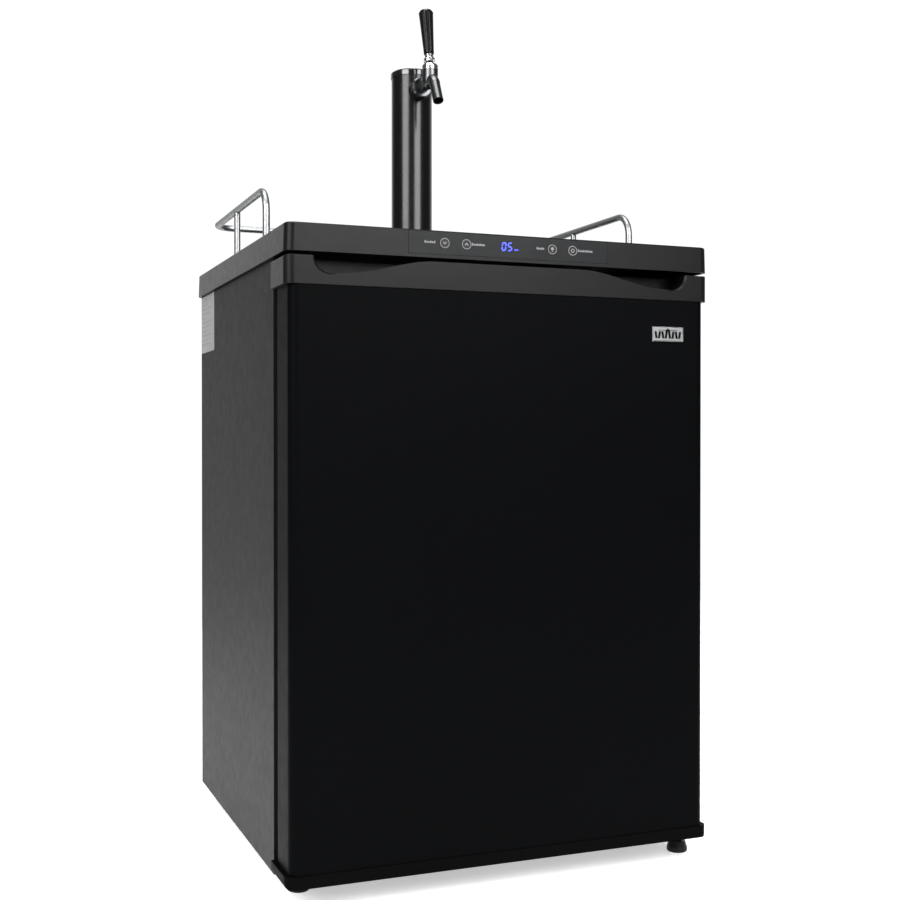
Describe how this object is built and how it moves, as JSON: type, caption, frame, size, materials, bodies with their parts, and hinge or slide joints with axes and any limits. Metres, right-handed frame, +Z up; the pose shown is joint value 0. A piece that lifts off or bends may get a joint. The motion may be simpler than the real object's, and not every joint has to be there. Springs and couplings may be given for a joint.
{
  "type": "kegerator",
  "caption": "Black undercounter kegerator with a beer tower and tap on its worktop, a chrome guard rail, a front control panel and a hinged door with a scoop handle.",
  "frame": {"origin": "on the floor, under the middle of the object's box", "axes": "+X to the right seen from the door, +Y from the door to the back, +Z up"},
  "size_m": [0.6, 0.622, 1.2398],
  "materials": {
    "cabinet_steel": "satin",
    "hidden_steel": "satin",
    "foam": "matte",
    "liner_white": "satin",
    "base_steel": "satin",
    "worktop_plastic": "satin",
    "trim_plastic": "satin",
    "fascia_plastic": "satin",
    "board_green": "satin",
    "button_grey": "satin",
    "chrome": "polished",
    "tower_black": "gloss",
    "gloss_black": "gloss",
    "stainless": "satin",
    "grille_black": "satin",
    "hinge_black": "satin",
    "foot_black": "matte",
    "compressor_black": "satin",
    "rubber_black": "matte",
    "black_plastic": "matte",
    "coil_black": "satin",
    "fan_white": "matte",
    "cylinder_aluminium": "satin",
    "brass": "satin",
    "gauge_chrome": "polished",
    "knob_blue": "satin",
    "knob_black": "satin",
    "beer_hose": "satin",
    "gas_hose": "satin",
    "door_steel": "satin",
    "gasket_rubber": "matte"
  },
  "bodies": {
    "cabinet": {"left_side_panel": "cabinet_steel", "right_side_panel": "cabinet_steel", "top_panel": "hidden_steel", "rear_panel": "hidden_steel", "evaporator_plate": "hidden_steel", "insulation_foam": "foam", "tower_insulation": "foam", "inner_liner": "liner_white", "base_frame": "base_steel", "worktop_cap": "worktop_plastic", "control_fascia": "fascia_plastic", "control_board": "board_green", "guard_rail": "chrome", "tap_shank": "chrome", "coupling_nut": "chrome", "faucet_body": "chrome", "faucet_bonnet": "chrome", "tower_column": "tower_black", "tower_cap": "gloss_black", "top_fasteners": "stainless", "keg_coupler": "stainless", "upper_hinge": "hinge_black", "lower_hinge": "hinge_black", "compressor": "compressor_black", "compressor_mounts": "rubber_black", "terminal_cover": "black_plastic", "evaporation_tray": "black_plastic", "condenser_spacers": "black_plastic", "condenser_coil": "coil_black", "fan_housing": "fan_white", "line_clips": "fan_white", "gas_cylinder": "cylinder_aluminium", "gas_regulator": "brass", "pressure_gauges": "gauge_chrome", "beer_line": "beer_hose", "gas_line": "gas_hose"},
    "door": {"door_skin": "door_steel", "door_top_trim": "trim_plastic", "door_bottom_trim": "trim_plastic", "door_foam": "foam", "door_liner": "liner_white", "door_gasket": "gasket_rubber", "badge_plate": "chrome"},
    "button_cooler": {"button_cooler": "button_grey"},
    "button_warmer": {"button_warmer": "button_grey"},
    "button_light": {"button_light": "button_grey"},
    "button_power": {"button_power": "button_grey"},
    "tap": {"tap_lever": "chrome", "tap_handle": "gloss_black"},
    "plunger": {"faucet_plunger": "stainless"},
    "drip_pan": {"drip_pan": "stainless"},
    "drip_grille": {"drip_grille": "grille_black"},
    "fan": {"fan_rotor": "fan_white"},
    "foot_front_left": {"foot_front_left": "foot_black"},
    "foot_front_right": {"foot_front_right": "foot_black"},
    "foot_rear_left": {"foot_rear_left": "foot_black"},
    "foot_rear_right": {"foot_rear_right": "foot_black"},
    "cylinder_knob": {"cylinder_knob": "knob_blue"},
    "regulator_knob": {"regulator_knob": "knob_black"},
    "coupler_lever": {"coupler_lever": "knob_black"}
  },
  "joints": [
    {"name": "door_hinge", "type": "hinge", "parent": "cabinet", "child": "door", "pos_m": [0.285, -0.255, 0.4], "axis": [0, 0, 1], "range_deg": [0, 110]},
    {"name": "cooler_press", "type": "slide", "parent": "cabinet", "child": "button_cooler", "axis": [0, 1, 0], "range_m": [0, 0.001], "stiffness_N_per_m": 800, "springref_m": -0.0005},
    {"name": "warmer_press", "type": "slide", "parent": "cabinet", "child": "button_warmer", "axis": [0, 1, 0], "range_m": [0, 0.001], "stiffness_N_per_m": 800, "springref_m": -0.0005},
    {"name": "light_press", "type": "slide", "parent": "cabinet", "child": "button_light", "axis": [0, 1, 0], "range_m": [0, 0.001], "stiffness_N_per_m": 800, "springref_m": -0.0005},
    {"name": "power_press", "type": "slide", "parent": "cabinet", "child": "button_power", "axis": [0, 1, 0], "range_m": [0, 0.001], "stiffness_N_per_m": 800, "springref_m": -0.0005},
    {"name": "tap_pull", "type": "hinge", "parent": "cabinet", "child": "tap", "pos_m": [0, -0.01475, 1.144], "axis": [1, 0, 0], "range_deg": [0, 32]},
    {"name": "plunger_slide", "type": "slide", "parent": "cabinet", "child": "plunger", "axis": [0, 1, 0], "range_m": [0, 0.009]},
    {"name": "drip_pan_lift", "type": "slide", "parent": "cabinet", "child": "drip_pan", "axis": [0, 0, 1], "range_m": [0, 0.06]},
    {"name": "grille_lift", "type": "slide", "parent": "drip_pan", "child": "drip_grille", "axis": [0, 0, 1], "range_m": [0, 0.04]},
    {"name": "fan_spin", "type": "hinge", "parent": "cabinet", "child": "fan", "pos_m": [-0.15, 0.195, 0.625], "axis": [0, 1, 0], "continuous": true},
    {"name": "foot_front_left_height", "type": "slide", "parent": "cabinet", "child": "foot_front_left", "axis": [0, 0, 1], "range_m": [-0.01, 0]},
    {"name": "foot_front_right_height", "type": "slide", "parent": "cabinet", "child": "foot_front_right", "axis": [0, 0, 1], "range_m": [-0.006, 0]},
    {"name": "foot_rear_left_height", "type": "slide", "parent": "cabinet", "child": "foot_rear_left", "axis": [0, 0, 1], "range_m": [-0.01, 0]},
    {"name": "foot_rear_right_height", "type": "slide", "parent": "cabinet", "child": "foot_rear_right", "axis": [0, 0, 1], "range_m": [-0.01, 0]},
    {"name": "cylinder_valve", "type": "hinge", "parent": "cabinet", "child": "cylinder_knob", "pos_m": [0.19, 0.08, 0.484], "axis": [0, 0, 1], "range_deg": [0, 720]},
    {"name": "pressure_set", "type": "hinge", "parent": "cabinet", "child": "regulator_knob", "pos_m": [0.151, 0.152, 0.462], "axis": [1, 0, 0], "range_deg": [0, 720]},
    {"name": "coupler_engage", "type": "hinge", "parent": "cabinet", "child": "coupler_lever", "pos_m": [-0.04, 0.178, 0.335], "axis": [0, 1, 0], "range_deg": [-50, 0]}
  ],
  "couplings": [
    {"joint": "plunger_slide", "follows": "tap_pull", "m_per_rad": 0.014}
  ]
}
